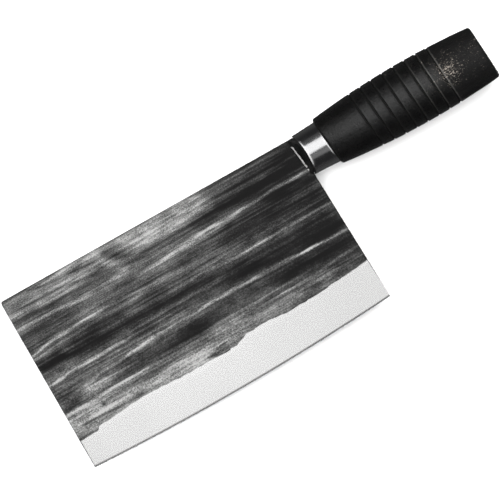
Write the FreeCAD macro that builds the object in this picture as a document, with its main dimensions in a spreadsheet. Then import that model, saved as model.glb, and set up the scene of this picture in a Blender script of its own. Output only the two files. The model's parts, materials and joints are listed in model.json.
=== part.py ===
import FreeCAD, Part
import math
import os

import Sketcher

# A hand-forged meat cleaver: a broad plate blade, a bolster and tang forged onto its heel, a
# steel ferrule and a turned wooden handle.
#
# Every piece is drawn in the knife's own frame: X runs along the handle from the heel of the
# blade (x = 0) to the butt, Y points from the edge to the spine, and Z is square to the blade.
# The finished pieces are then laid down as the cleaver lies on a table: on the toe of the blade
# and on the belly of the handle. The table is the row's XY plane.

DIMENSIONS = (
    ("blade_length", 195.5, "heel to toe, along the handle"),
    ("spine_at_heel", 12.0, "spine above the handle's axis, at the heel"),
    ("spine_at_toe", 13.6, "spine above the handle's axis, at the toe"),
    ("heel_lean", 4.0, "how far the heel's lower corner stands back"),
    ("edge_depth", 99.8, "handle's axis to the lowest point of the edge"),
    ("edge_crest", 108.0, "heel to the lowest point of the edge"),
    ("edge_radius", 1600.0, "curve of the edge"),
    ("spine_half", 1.6, "half thickness of the spine at the heel"),
    ("edge_thinning", 0.00655, "half thickness lost for each mm towards the edge"),
    ("edge_half", 0.15, "half thickness of the edge itself"),
    ("bevel_slope", 0.0365, "half thickness gained for each mm above the edge"),
    ("bevel_reach", 48.0, "how far above the edge the grinding cutter reaches"),
    ("margin", 10.0, "how far cutters stand clear of the work"),
    ("mouth_half", 1.7, "half height of the ferrule's notch for the blade"),
    ("mouth_start", 1.0, "where that notch ends"),
    ("mouth_slant", 0.243, "how far the mouth leans back for each mm of height"),
    ("ferrule_end", 16.5, "rear end of the ferrule"),
    ("ferrule_front_radius", 12.8, "outside, at the mouth"),
    ("ferrule_rear_radius", 13.5, "outside, at the wood"),
    ("ferrule_bore", 11.9, "inside radius"),
    ("bolster_front", -2.4, "where the bolster starts on the blade"),
    ("bolster_step", 0.35, "height of the bolster's front lip above the blade"),
    ("bolster_slant", 0.55, "how far the bolster leans back for each mm of height"),
    ("bolster_radius", 11.85, "bolster and wooden tenon, inside the ferrule"),
    ("bolster_end", 8.0, "rear face of the bolster"),
    ("barrel_radius", 19.0, "thickest part of the handle"),
    ("barrel_middle", 75.0, "heel to the thickest part of the handle"),
    ("barrel_curve", 480.0, "lengthwise curve of the handle"),
    ("butt", 121.5, "heel to the butt end"),
    ("rim_round", 1.9, "rounding of the handle's two ends"),
    ("groove_first", 42.6, "heel to the first turned groove"),
    ("groove_pitch", 7.34, "from one groove to the next"),
    ("groove_half", 0.7, "half the width of a groove at the surface"),
    ("groove_floor", 0.15, "half the width of its floor"),
    ("groove_depth", 0.6, "depth of a groove"),
    ("bore_radius", 6.0, "bore through the handle"),
    ("recess_radius", 8.5, "recess for the washer"),
    ("recess_depth", 4.0, "recess for the washer"),
    ("tang_radius", 4.0, "round tang"),
    ("bond_gap", 0.03, "play between the bedding and its neighbours"),
    ("washer_radius", 8.2, "outside of the washer"),
    ("washer_hole", 4.1, "hole of the washer"),
    ("washer_thickness", 1.5, "washer"),
    ("head_radius", 5.6, "peened head of the tang"),
    ("head_wall", 0.65, "straight wall of the peened head"),
    ("head_shoulder", 1.6, "height of the head's shoulder"),
    ("head_waist", 3.5, "radius at the head's shoulder"),
    ("head_height", 1.9, "peened head of the tang"),
    ("head_crown", 1.4, "radius of the head's flat crown"),
)

GROOVES = 8
BEVEL_SWEEP = 9.0  # degrees of the edge's circle that the grinding cutter passes over
CONTACT_STEPS = 12  # rounds of improving a point of contact with the table
LEAST_CUT = 1.0  # cubic mm; a cut that removes less has missed the work
SAME_PLACE = 1e-3  # mm; edges nearer than this to a place lie at it

doc = FreeCAD.newDocument("meat_cleaver")
sheet = doc.addObject("Spreadsheet::Sheet", "Sizes")


def fill_sheet():
    """Name, value and meaning of each driving dimension, one to a row."""
    for number, (name, value, meaning) in enumerate(DIMENSIONS, start=1):
        sheet.set(f"A{number}", name)
        sheet.set(f"B{number}", str(value))
        sheet.setAlias(f"B{number}", name)
        sheet.set(f"C{number}", meaning)
    doc.recompute()


def bound(formula):
    """A formula in the sheet's names, written for the expression engine."""
    words = formula.split()
    names = {name for name, value, meaning in DIMENSIONS}
    return " ".join("Sizes." + word if word in names else word for word in words)


def new_body(label):
    body = doc.addObject("PartDesign::Body", label)
    body.Label = label
    return body


def new_sketch(body, name, plane, shift_x="0", shift_y="0"):
    """A sketch on one of the body's own planes, moved by formulas in the plane's own axes."""
    sketch = body.newObject("Sketcher::SketchObject", name)
    planes = [item for item in body.Origin.OriginFeatures if item.Role == plane]
    sketch.AttachmentSupport = (planes[0], "")
    sketch.MapMode = "FlatFace"
    along_x, along_y = ("z", "x") if plane == "YZ_Plane" else ("x", "y")
    sketch.setExpression(f"AttachmentOffset.Base.{along_x}", bound(shift_x))
    sketch.setExpression(f"AttachmentOffset.Base.{along_y}", bound(shift_y))
    return sketch


def fix_across(sketch, geometry, end, across):
    """Hold one point of a sketch at the distance from its Y axis that a formula gives."""
    now = sketch.getPoint(geometry, end).x
    index = sketch.addConstraint(Sketcher.Constraint("DistanceX", -1, 1, geometry, end, now))
    sketch.setExpression(f"Constraints[{index}]", bound(across))


def fix_point(sketch, geometry, end, across, up):
    """Hold one point of a sketch at the place that two formulas give."""
    fix_across(sketch, geometry, end, across)
    now = sketch.getPoint(geometry, end).y
    index = sketch.addConstraint(Sketcher.Constraint("DistanceY", -1, 1, geometry, end, now))
    sketch.setExpression(f"Constraints[{index}]", bound(up))


def fix_radius(sketch, geometry, radius):
    """Give an arc or circle the radius of a formula."""
    now = sketch.Geometry[geometry].Radius
    index = sketch.addConstraint(Sketcher.Constraint("Radius", geometry, now))
    sketch.setExpression(f"Constraints[{index}]", bound(radius))


def draw_polygon(sketch, corners):
    """Closed polygon, its corners given as pairs of formulas."""
    first = sketch.GeometryCount
    count = len(corners)
    turns = [2 * math.pi * number / count for number in range(count)]
    starts = [FreeCAD.Vector(math.cos(turn), math.sin(turn), 0) for turn in turns]
    for number in range(count):
        line = Part.LineSegment(starts[number], starts[(number + 1) % count])
        sketch.addGeometry(line, False)
    for number, (across, up) in enumerate(corners):
        following = first + (number + 1) % count
        sketch.addConstraint(Sketcher.Constraint("Coincident", first + number, 2, following, 1))
        fix_point(sketch, first + number, 1, across, up)


def circle_sketch(body, name, shift_x, radii):
    """Circles about the handle's axis, on a plane square to it."""
    sketch = new_sketch(body, name, "YZ_Plane", shift_x)
    for radius in radii:
        circle = Part.Circle(FreeCAD.Vector(0, 0, 0), FreeCAD.Vector(0, 0, 1), 1.0)
        ring = sketch.addGeometry(circle, False)
        sketch.addConstraint(Sketcher.Constraint("Coincident", ring, 3, -1, 1))
        fix_radius(sketch, ring, radius)
    return sketch


def pad(body, name, sketch, length, both_sides=False):
    feature = body.newObject("PartDesign::Pad", name)
    feature.Profile = sketch
    feature.Midplane = both_sides
    feature.setExpression("Length", bound(length))
    doc.recompute()
    return feature


def pocket_through(body, name, sketch):
    """Cut right through the body, to both sides of the sketch."""
    before = body.Shape.Volume
    feature = body.newObject("PartDesign::Pocket", name)
    feature.Profile = sketch
    feature.Type = "ThroughAll"
    feature.Midplane = True
    doc.recompute()
    if feature.Shape.isNull() or feature.Shape.Volume > before - LEAST_CUT:
        raise RuntimeError(name + " cuts nothing")
    return feature


def turn(body, name, sketch):
    """Revolve a half profile about the handle's axis."""
    feature = body.newObject("PartDesign::Revolution", name)
    feature.Profile = sketch
    feature.ReferenceAxis = (sketch, ["H_Axis"])
    feature.Angle = 360.0
    doc.recompute()
    return feature


def round_rims(body, name, radius, feature, places):
    """Fillet the widest circular edge at each of the given places along the axis."""
    chosen = []
    for place in places:
        rims = []
        for number, edge in enumerate(feature.Shape.Edges, start=1):
            at_place = abs(edge.BoundBox.XMax - place) < SAME_PLACE
            if isinstance(edge.Curve, Part.Circle) and at_place:
                rims.append((edge.Curve.Radius, f"Edge{number}"))
        chosen.append(max(rims)[1])
    fillet = body.newObject("PartDesign::Fillet", name)
    fillet.Base = (feature, chosen)
    fillet.setExpression("Radius", bound(radius))
    doc.recompute()
    return fillet


def half_thickness(up):
    """Formula for half the blade's thickness before grinding: both flanks are flat planes."""
    return f"spine_half + edge_thinning * ( ( {up} ) - spine_at_heel )"


def build_blade():
    """Forged plate that thins towards the edge, cut to outline, then ground."""
    body = new_body("blade_blank")
    top = "spine_at_toe + margin"
    bottom = "0 - edge_depth - margin"
    thick = half_thickness(top)
    thin = half_thickness(bottom)
    sketch = new_sketch(body, "plate_section", "YZ_Plane", "0 - blade_length - margin")
    draw_polygon(sketch, [
        (top, thick),
        (bottom, thin),
        (bottom, f"0 - ( {thin} )"),
        (top, f"0 - ( {thick} )"),
    ])
    pad(body, "forged_plate", sketch, "blade_length + heel_lean + margin * 2")
    pocket_through(body, "cut_to_outline", blade_outline(body))
    grind_bevels(body)
    return body


def blade_outline(body):
    """The blade's outline inside a larger frame, so that what lies between is cut away."""
    sketch = new_sketch(body, "outline", "XY_Plane")
    far = "margin * 3"
    frame_left, frame_right = f"0 - blade_length - {far}", f"heel_lean + {far}"
    frame_low, frame_high = f"0 - edge_depth - {far}", f"spine_at_toe + {far}"
    draw_polygon(sketch, [
        (frame_left, frame_low),
        (frame_right, frame_low),
        (frame_right, frame_high),
        (frame_left, frame_high),
    ])
    toe, depth = sheet.blade_length, sheet.edge_depth
    crest, radius = sheet.edge_crest, sheet.edge_radius
    centre = FreeCAD.Vector(-crest, radius - depth, 0)
    toe_turn = math.asin((toe - crest) / radius)
    heel_turn = math.asin((crest + sheet.heel_lean) / radius)
    down = 1.5 * math.pi
    edge_circle = Part.Circle(centre, FreeCAD.Vector(0, 0, 1), radius)
    edge = Part.ArcOfCircle(edge_circle, down - toe_turn, down + heel_turn)
    spine_heel = FreeCAD.Vector(0, sheet.spine_at_heel, 0)
    spine_toe = FreeCAD.Vector(-toe, sheet.spine_at_toe, 0)
    lines = [
        edge,
        Part.LineSegment(edge.EndPoint, spine_heel),
        Part.LineSegment(spine_heel, spine_toe),
        Part.LineSegment(spine_toe, edge.StartPoint),
    ]
    first = sketch.GeometryCount
    for line in lines:
        sketch.addGeometry(line, False)
    arc, heel, spine, toe_line = range(first, first + len(lines))
    for one, one_end, other, other_end in (
            (arc, 2, heel, 1), (heel, 2, spine, 1), (spine, 2, toe_line, 1), (toe_line, 2, arc, 1)):
        sketch.addConstraint(Sketcher.Constraint("Coincident", one, one_end, other, other_end))
    fix_point(sketch, arc, 3, "0 - edge_crest", "edge_radius - edge_depth")
    fix_point(sketch, spine, 1, "0", "spine_at_heel")
    fix_point(sketch, spine, 2, "0 - blade_length", "spine_at_toe")
    fix_radius(sketch, arc, "edge_radius")
    fix_across(sketch, toe_line, 2, "0 - blade_length")
    fix_across(sketch, heel, 1, "heel_lean")
    return sketch


def grind_bevels(body):
    """Two cone faces about the edge curve's own centre, one on each side of the blade."""
    sketch = new_sketch(body, "bevel_cutter", "YZ_Plane", "0 - edge_crest",
                        "edge_radius - edge_depth")
    for side in ("", "0 - "):
        low = f"{side}edge_half"
        high = f"{side}( edge_half + bevel_slope * bevel_reach )"
        clear = f"{side}margin"
        draw_polygon(sketch, [
            ("0 - edge_radius", low),
            ("bevel_reach - edge_radius", high),
            ("bevel_reach - edge_radius", clear),
            ("0 - edge_radius - margin", clear),
            ("0 - edge_radius - margin", low),
        ])
    before = body.Shape.Volume
    groove = body.newObject("PartDesign::Groove", "ground_bevels")
    groove.Profile = sketch
    groove.ReferenceAxis = (sketch, ["V_Axis"])
    groove.Midplane = True
    groove.Angle = BEVEL_SWEEP
    doc.recompute()
    if groove.Shape.Volume > before - LEAST_CUT:
        raise RuntimeError("the bevels cut nothing")


def slanted_front(body, name, start, half, slant):
    """Cut the front of a round piece back on two slants, above and below the blade."""
    sketch = new_sketch(body, name + "_profile", "XZ_Plane")
    reach = "ferrule_rear_radius + margin"
    back = f"{start} + ( {reach} - ( {half} ) ) * {slant}"
    front = f"{start} - margin * 2"
    draw_polygon(sketch, [
        (start, half),
        (back, reach),
        (front, reach),
        (front, f"0 - ( {reach} )"),
        (back, f"0 - ( {reach} )"),
        (start, f"0 - ( {half} )"),
    ])
    pocket_through(body, name, sketch)


def heel_block():
    """Block over the heel's upper corner, where the steel belongs to the bolster."""
    body = new_body("heel_block")
    sketch = new_sketch(body, "heel_corner_outline", "XY_Plane")
    low = "0 - bolster_radius"
    high = "spine_at_heel + margin"
    draw_polygon(sketch, [
        ("bolster_front", low),
        ("margin", low),
        ("margin", high),
        ("bolster_front", high),
    ])
    pad(body, "heel_corner_block", sketch, "margin * 2", both_sides=True)
    return body


def joined(kind, label, base, tool):
    """Cut, Common or Fuse of two objects, with its coplanar faces merged."""
    result = doc.addObject("Part::" + kind, label)
    result.Base = base
    result.Tool = tool
    result.Refine = True
    return result


def build_bolster(corner):
    """Round plug with a chisel front, one with the corner of the blade's heel."""
    body = new_body("bolster_plug")
    sketch = circle_sketch(body, "bolster_round", "bolster_front", ["bolster_radius"])
    pad(body, "round_plug", sketch, "bolster_end - bolster_front")
    half = f"{half_thickness('bolster_radius')} + bolster_step"
    slanted_front(body, "chisel_front", "bolster_front", half, "bolster_slant")
    return joined("Fuse", "bolster", body, corner)


def build_ferrule():
    """Tapered sleeve, its mouth cut back on two slants."""
    body = new_body("ferrule")
    front = "0 - margin"
    taper = "( ferrule_rear_radius - ferrule_front_radius ) / ferrule_end"
    sketch = new_sketch(body, "ferrule_wall", "XY_Plane")
    draw_polygon(sketch, [
        (front, "ferrule_bore"),
        (front, f"ferrule_front_radius - margin * {taper}"),
        ("ferrule_end", "ferrule_rear_radius"),
        ("ferrule_end", "ferrule_bore"),
    ])
    turn(body, "drawn_sleeve", sketch)
    slanted_front(body, "slant_mouth", "mouth_start", "mouth_half", "mouth_slant")
    return body


def barrel_radius_at(along):
    """Formula for the handle's radius: a circle's arc, taken as a parabola."""
    return f"barrel_radius - ( {along} - barrel_middle ) ^ 2 / ( 2 * barrel_curve )"


def build_handle():
    """Turned wood with a tenon for the ferrule, a through bore, a butt recess and grooves."""
    body = new_body("handle")
    sketch = new_sketch(body, "turned_profile", "XY_Plane")
    floor = "butt - recess_depth"
    draw_polygon(sketch, [
        ("bolster_end", "bore_radius"),
        ("bolster_end", "bolster_radius"),
        ("ferrule_end", "bolster_radius"),
        ("ferrule_end", barrel_radius_at("ferrule_end")),
        ("butt", barrel_radius_at("butt")),
        ("butt", "recess_radius"),
        (floor, "recess_radius"),
        (floor, "bore_radius"),
    ])
    bulge_barrel(sketch)
    turned = turn(body, "turned_wood", sketch)
    places = (sheet.ferrule_end, sheet.butt)
    round_rims(body, "rounded_ends", "rim_round", turned, places)
    cut_grooves(body)
    return body


def bulge_barrel(sketch):
    """Put the barrel's arc in place of the straight line between the handle's two ends."""
    doc.recompute()
    front, butt = 3, 4
    middle = FreeCAD.Vector(sheet.barrel_middle, sheet.barrel_radius, 0)
    sketch.toggleConstruction(front)
    bow = Part.Arc(sketch.getPoint(butt, 1), middle, sketch.getPoint(front, 1))
    arc = sketch.addGeometry(bow, False)
    sketch.addConstraint(Sketcher.Constraint("Coincident", arc, 1, butt, 1))
    sketch.addConstraint(Sketcher.Constraint("Coincident", arc, 2, front, 1))
    fix_radius(sketch, arc, "barrel_curve")


def cut_grooves(body):
    """Turned grooves of one depth, each a V with a narrow floor that follows the barrel."""
    sketch = new_sketch(body, "groove_profiles", "XY_Plane")
    for number in range(GROOVES):
        along = f"( groove_first + {number} * groove_pitch )"
        surface = barrel_radius_at(along)
        floor = f"{surface} - groove_depth"
        clear = f"{surface} + groove_depth"
        draw_polygon(sketch, [
            (f"{along} - groove_half * 2", clear),
            (f"{along} - groove_floor", floor),
            (f"{along} + groove_floor", floor),
            (f"{along} + groove_half * 2", clear),
        ])
    before = body.Shape.Volume
    groove = body.newObject("PartDesign::Groove", "turned_grooves")
    groove.Profile = sketch
    groove.ReferenceAxis = (sketch, ["H_Axis"])
    groove.Angle = 360.0
    doc.recompute()
    if groove.Shape.Volume > before - LEAST_CUT:
        raise RuntimeError("the grooves cut nothing")


def build_tang():
    """Round rod behind the bolster, its far end peened over the washer."""
    body = new_body("tang")
    sketch = new_sketch(body, "tang_profile", "XY_Plane")
    seat = "butt - recess_depth + washer_thickness"
    top = f"{seat} + head_height"
    draw_polygon(sketch, [
        ("bolster_end", "0"),
        ("bolster_end", "tang_radius"),
        (seat, "tang_radius"),
        (seat, "head_radius"),
        (f"{seat} + head_wall", "head_radius"),
        (f"{seat} + head_shoulder", "head_waist"),
        (top, "head_crown"),
        (top, "0"),
    ])
    turn(body, "drawn_rod", sketch)
    return body


def build_bedding():
    """Resin sleeve that fills the bore around the tang."""
    body = new_body("tang_bedding")
    radii = ["bore_radius - bond_gap", "tang_radius + bond_gap"]
    sketch = circle_sketch(body, "bedding_ring", "bolster_end", radii)
    pad(body, "poured_resin", sketch, "butt - recess_depth - bolster_end")
    return body


def build_washer():
    """Round washer on the floor of the butt's recess."""
    body = new_body("butt_washer")
    radii = ["washer_radius", "washer_hole"]
    sketch = circle_sketch(body, "washer_ring", "butt - recess_depth", radii)
    pad(body, "punched_washer", sketch, "washer_thickness")
    return body


def flank_height(up):
    """Half the blade's thickness at a point of its flank, as a number."""
    return sheet.spine_half + sheet.edge_thinning * (up - sheet.spine_at_heel)


def bevel_shoulder_at_toe():
    """Height, across the blade, at which the flank meets the bevel on the toe's line."""
    centre_up = sheet.edge_radius - sheet.edge_depth
    beside = sheet.blade_length - sheet.edge_crest
    above = 0.0
    for step in range(CONTACT_STEPS):
        radius = sheet.edge_radius - above
        up = centre_up - math.sqrt(radius ** 2 - beside ** 2)
        above = (flank_height(up) - sheet.edge_half) / sheet.bevel_slope
    return up


def lying_rotation():
    """Turn that brings the plane under the toe and the handle's belly level."""
    toe = -sheet.blade_length
    high = sheet.spine_at_toe
    low = bevel_shoulder_at_toe()
    toe_high = FreeCAD.Vector(toe, high, -flank_height(high))
    toe_low = FreeCAD.Vector(toe, low, -flank_height(low))
    contact = FreeCAD.Vector(sheet.barrel_middle, 0, -sheet.barrel_radius)
    for step in range(CONTACT_STEPS):
        up = (toe_low - toe_high).cross(contact - toe_high)
        up.normalize()
        across = math.hypot(up.y, up.z)
        along = sheet.barrel_middle - sheet.barrel_curve * up.x / across
        off_middle = along - sheet.barrel_middle
        radius = sheet.barrel_radius - off_middle ** 2 / (2 * sheet.barrel_curve)
        contact = FreeCAD.Vector(along, -radius * up.y / across, -radius * up.z / across)
    row_x = FreeCAD.Vector(1, 0, 0) - up * up.x
    row_x.normalize()
    return FreeCAD.Rotation(row_x, up.cross(row_x), up, "ZXY").inverted()


def lay_down(pieces):
    """Turn all pieces to their lying pose, with the origin under the middle of their box."""
    turned = FreeCAD.Placement(FreeCAD.Vector(0, 0, 0), lying_rotation())
    shapes = []
    for piece in pieces:
        shape = piece.Shape.copy()
        shape.Placement = turned.multiply(shape.Placement)
        shapes.append(shape)
    box = Part.makeCompound(shapes).optimalBoundingBox(True, False)
    shift = FreeCAD.Vector(-box.Center.x, -box.Center.y, -box.ZMin)
    placement = FreeCAD.Placement(shift, turned.Rotation)
    for piece in pieces:
        piece.Placement = placement.multiply(piece.Placement)
    doc.recompute()


def check_objects(pieces):
    """Stop with a message if any object failed or any piece has no sound solid."""
    for item in doc.Objects:
        if {"Invalid", "Error"} & set(item.State):
            raise RuntimeError(f"{item.Name} is {item.State}")
    for piece in pieces:
        if piece.Shape.isNull() or not piece.Shape.isValid():
            raise RuntimeError(f"{piece.Label} has no sound shape")
        if len(piece.Shape.Solids) != 1:
            raise RuntimeError(f"{piece.Label} is not one solid")


def write_pieces(pieces):
    os.makedirs("parts", exist_ok=True)
    for piece in pieces:
        piece.Shape.exportStep(f"parts/{piece.Label}.step")
        print(f"{piece.Label}: {piece.Shape.Volume:.0f} cubic mm")


fill_sheet()
blade_blank = build_blade()
heel = heel_block()
pieces = [
    joined("Cut", "blade", blade_blank, heel),
    build_bolster(joined("Common", "heel_corner", blade_blank, heel)),
    build_ferrule(),
    build_handle(),
    build_tang(),
    build_bedding(),
    build_washer(),
]
doc.recompute()
lay_down(pieces)
check_objects(pieces)
write_pieces(pieces)
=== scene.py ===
import json
import math

import bmesh
import bpy
import numpy as np
from bpy.props import FloatProperty, FloatVectorProperty, PointerProperty
from mathutils import Matrix


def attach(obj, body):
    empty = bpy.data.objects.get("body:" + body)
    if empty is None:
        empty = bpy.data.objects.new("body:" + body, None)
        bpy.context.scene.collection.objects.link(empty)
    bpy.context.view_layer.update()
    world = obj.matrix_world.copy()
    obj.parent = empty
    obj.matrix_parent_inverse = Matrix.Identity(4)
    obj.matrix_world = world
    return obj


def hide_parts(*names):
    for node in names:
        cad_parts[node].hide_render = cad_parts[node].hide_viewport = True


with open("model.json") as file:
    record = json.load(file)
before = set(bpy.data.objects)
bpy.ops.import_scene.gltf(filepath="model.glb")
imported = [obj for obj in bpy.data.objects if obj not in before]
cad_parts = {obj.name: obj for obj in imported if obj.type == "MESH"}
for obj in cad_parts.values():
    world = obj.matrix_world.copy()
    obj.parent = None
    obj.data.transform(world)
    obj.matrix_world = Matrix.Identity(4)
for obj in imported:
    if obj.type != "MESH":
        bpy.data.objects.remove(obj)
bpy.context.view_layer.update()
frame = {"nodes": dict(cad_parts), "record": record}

bl_info = {
    "name": "Meat Cleaver Finish",
    "version": (1, 0, 0),
    "blender": (4, 5, 0),
    "location": "View3D > Sidebar > Cleaver",
    "description": "Forged blade, ferrule and turned handle built around the packed frame",
    "category": "Object",
}

MM = 0.001

# Sizes that the pieces share, in metres, in the knife's own frame: X along the handle from the
# heel of the blade (x = 0) to the butt, Y from the edge to the spine, Z square to the blade.
EDGE_THINNING = 0.00655  # half thickness lost for each unit of length towards the edge
SPINE_RISE = 0.0082  # the spine's rise for each unit of length towards the toe, to four places
BARREL_MIDDLE = 75 * MM  # heel to the thickest part of the handle, where the grip mount is


def unit(vector):
    """The vector's direction, at length one."""
    vector = np.asarray(vector, float)
    return vector / np.linalg.norm(vector)


def knife_frame():
    """Origin and axes of the knife's own frame, from the record's two mounts. The flank leans
    off the blade's middle plane by the thinning, so a few rounds settle the normal."""
    mounts = {mount["name"]: mount for mount in frame["record"]["mounts"]}
    along = unit(mounts["grip"]["axis"])
    flank = unit(mounts["rack_face"]["axis"])
    across = np.array((0.0, 1.0, 0.0))
    for _ in range(4):
        normal = flank + EDGE_THINNING * across
        normal = unit(normal - normal.dot(along) * along)
        across = np.cross(normal, along)
    origin = np.array(mounts["grip"]["pos_m"]) - BARREL_MIDDLE * along
    return origin, np.array((along, across, normal))


KNIFE_ORIGIN, KNIFE_AXES = knife_frame()


# ---------------------------------------------------------------- settings

def length(name, description, default):
    """A size in metres that a user can change."""
    return FloatProperty(name=name, description=description, default=default,
                         unit="LENGTH", precision=5)


def colour(name, description, default):
    """A linear colour that a user can change."""
    return FloatVectorProperty(name=name, description=description, default=default,
                               size=3, min=0.0, max=1.0, subtype="COLOR")


class BladeSettings(bpy.types.PropertyGroup):
    length: length("Length", "Heel to toe", 195.5 * MM)
    spine_at_heel: length("Spine at heel", "Above the handle's axis", 12.0 * MM)
    spine_at_toe: length("Spine at toe", "Above the handle's axis", 13.6 * MM)
    heel_lean: length("Heel lean", "How far the heel's lower corner stands back", 4.0 * MM)
    edge_depth: length("Edge depth", "Handle's axis to the lowest point of the edge", 99.8 * MM)
    edge_crest: length("Edge crest", "Heel to the lowest point of the edge", 108.0 * MM)
    edge_radius: length("Edge radius", "Curve of the edge", 1600.0 * MM)
    toe_corner: length("Toe corner", "Rounding of the toe's upper corner", 1.8 * MM)
    spine_half: length("Spine half thickness", "At the heel", 1.6 * MM)
    edge_half: length("Edge half thickness", "Of the honed edge", 0.09 * MM)
    scale_dark: colour("Dark scale", "Forge scale", (0.002, 0.002, 0.002))
    scale_light: colour("Light scale", "Rubbed forge scale", (0.265, 0.265, 0.261))
    ground: colour("Ground steel", "Bevel", (0.475, 0.475, 0.472))


class BolsterSettings(bpy.types.PropertyGroup):
    front: length("Front", "Where the bolster starts on the blade", -2.2 * MM)
    radius: length("Radius", "Inside the ferrule", 11.85 * MM)
    end: length("End", "Rear face", 8.0 * MM)
    lip: length("Lip", "Half height of the front lip", 1.95 * MM)
    slant: FloatProperty(name="Slant", description="Lean back for each unit of height",
                         default=0.55)
    scale: colour("Scale", "Black forge scale", (0.004, 0.004, 0.004))
    # painted highlight: this pale colour lights the bolster's front lip
    worn_and_highlight: colour("Worn edge", "Bare steel on the front lip", (0.66, 0.66, 0.65))


class FerruleSettings(bpy.types.PropertyGroup):
    mouth: length("Mouth", "Where the notch for the blade ends", 0.6 * MM)
    mouth_half: length("Notch half height", "Of the notch for the blade", 1.7 * MM)
    mouth_slant: FloatProperty(name="Mouth slant", description="Lean back for each unit of height",
                               default=0.265)
    end: length("End", "Rear end, at the wood", 16.5 * MM)
    front_radius: length("Front radius", "Outside, at the mouth", 12.95 * MM)
    rear_radius: length("Rear radius", "Outside, at the wood", 13.7 * MM)
    bore: length("Bore", "Inside radius", 11.9 * MM)
    steel: colour("Steel", "Buffed steel", (0.58, 0.58, 0.585))


class HandleSettings(bpy.types.PropertyGroup):
    front: length("Front", "Front face of the wood", 16.5 * MM)
    butt: length("Butt", "Butt end", 121.5 * MM)
    radius: length("Radius", "Thickest part", 19.0 * MM)
    curve: length("Barrel curve", "Lengthwise curve", 480.0 * MM)
    rim: length("Rim", "Rounding of the two ends", 1.9 * MM)
    groove_first: length("First groove", "From the heel", 42.6 * MM)
    groove_pitch: length("Groove pitch", "From one groove to the next", 7.34 * MM)
    groove_half: length("Groove half width", "At the surface", 0.75 * MM)
    groove_depth: length("Groove depth", "Of the turned grooves", 0.6 * MM)
    tenon: length("Tenon", "Radius inside the ferrule", 11.85 * MM)
    recess: length("Recess", "Radius of the washer's recess", 8.5 * MM)
    recess_depth: length("Recess depth", "Of the washer's recess", 4.0 * MM)
    stain: colour("Stain", "Black stain", (0.0008, 0.0008, 0.0008))
    grain: colour("Grain", "Paler grain", (0.0036, 0.0035, 0.0034))
    bare: colour("Bare wood", "Where the stain is worn off", (0.30, 0.27, 0.235))


class ButtSettings(bpy.types.PropertyGroup):
    washer_radius: length("Washer radius", "Outside", 8.2 * MM)
    washer_hole: length("Washer hole", "Inside", 4.1 * MM)
    washer_thickness: length("Washer thickness", "Thickness", 1.5 * MM)
    rod_radius: length("Rod radius", "Of the tang", 4.0 * MM)
    head_radius: length("Head radius", "Of the peened head", 5.6 * MM)
    head_height: length("Head height", "Of the peened head", 1.9 * MM)
    steel: colour("Steel", "Plain mild steel", (0.36, 0.345, 0.33))


class StageSettings(bpy.types.PropertyGroup):
    view_width: length("View width", "Seen across the view at the cleaver", 290.0 * MM)
    view_turn: FloatProperty(name="View turn", description="Rise of the handle in the view",
                             default=math.radians(29.787), subtype="ANGLE")
    view_x: length("View centre along", "From the heel, along the handle", -53.5 * MM)
    view_y: length("View centre across", "From the handle's axis", -32.3 * MM)
    camera_height: length("Camera height", "Above the table", 2.4)
    floor_size: length("Floor size", "Width of the floor", 14.0)
    floor: colour("Floor", "Pale floor", (0.9, 0.9, 0.9))


# ---------------------------------------------------------------- shared mesh helpers

def to_row(points):
    """Points of the knife's own frame, in the row frame."""
    return KNIFE_ORIGIN + points @ KNIFE_AXES


def smooth_step(low, high, value):
    """Nothing at low, one at high and an eased cubic between them."""
    share = np.clip((value - low) / (high - low), 0.0, 1.0)
    return share * share * (3.0 - 2.0 * share)


def bump(value, centre, width):
    """Bell curve of height one."""
    return np.exp(-((value - centre) / width) ** 2)


def waves(coordinates, sizes, seed, count=14):
    """Soft irregular waves: a sum of sines with seeded directions and phases, each of about one
    of the given wavelengths. coordinates is a list of arrays, one wavelength for each."""
    draws = np.random.default_rng(seed)
    total = 0.0
    for _ in range(count):
        direction = draws.normal(size=len(coordinates))
        phase = draws.uniform(0, 2 * math.pi)
        angle = phase
        for share, axis, size in zip(direction, coordinates, sizes):
            angle = angle + 2 * math.pi * share * axis / size
        total = total + np.sin(angle)
    return total / math.sqrt(count / 2)


def clustered(count, ends):
    """count numbers from 0 to 1, closer together at both ends as ends goes from 0 to 1."""
    even = np.linspace(0.0, 1.0, count)
    eased = 0.5 - 0.5 * np.cos(math.pi * even)
    return (1.0 - ends) * even + ends * eased


def grid_faces(rows, columns, close_rows=False, close_columns=False, first=0):
    """Corners of the quads of a grid of points stored row by row, from point number first. A
    closed direction joins its last points to its first ones."""
    row = np.arange(rows if close_rows else rows - 1)
    column = np.arange(columns if close_columns else columns - 1)
    row, column = [part.ravel() for part in np.meshgrid(row, column, indexing="ij")]
    next_row = (row + 1) % rows
    next_column = (column + 1) % columns
    corners = (row * columns + column, row * columns + next_column,
               next_row * columns + next_column, next_row * columns + column)
    return np.stack(corners, axis=1) + first


def face_outwards(mesh):
    """Turn every face of a closed mesh to the outside."""
    shape = bmesh.new()
    shape.from_mesh(mesh)
    bmesh.ops.recalc_face_normals(shape, faces=shape.faces)
    shape.to_mesh(mesh)
    shape.free()


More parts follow.
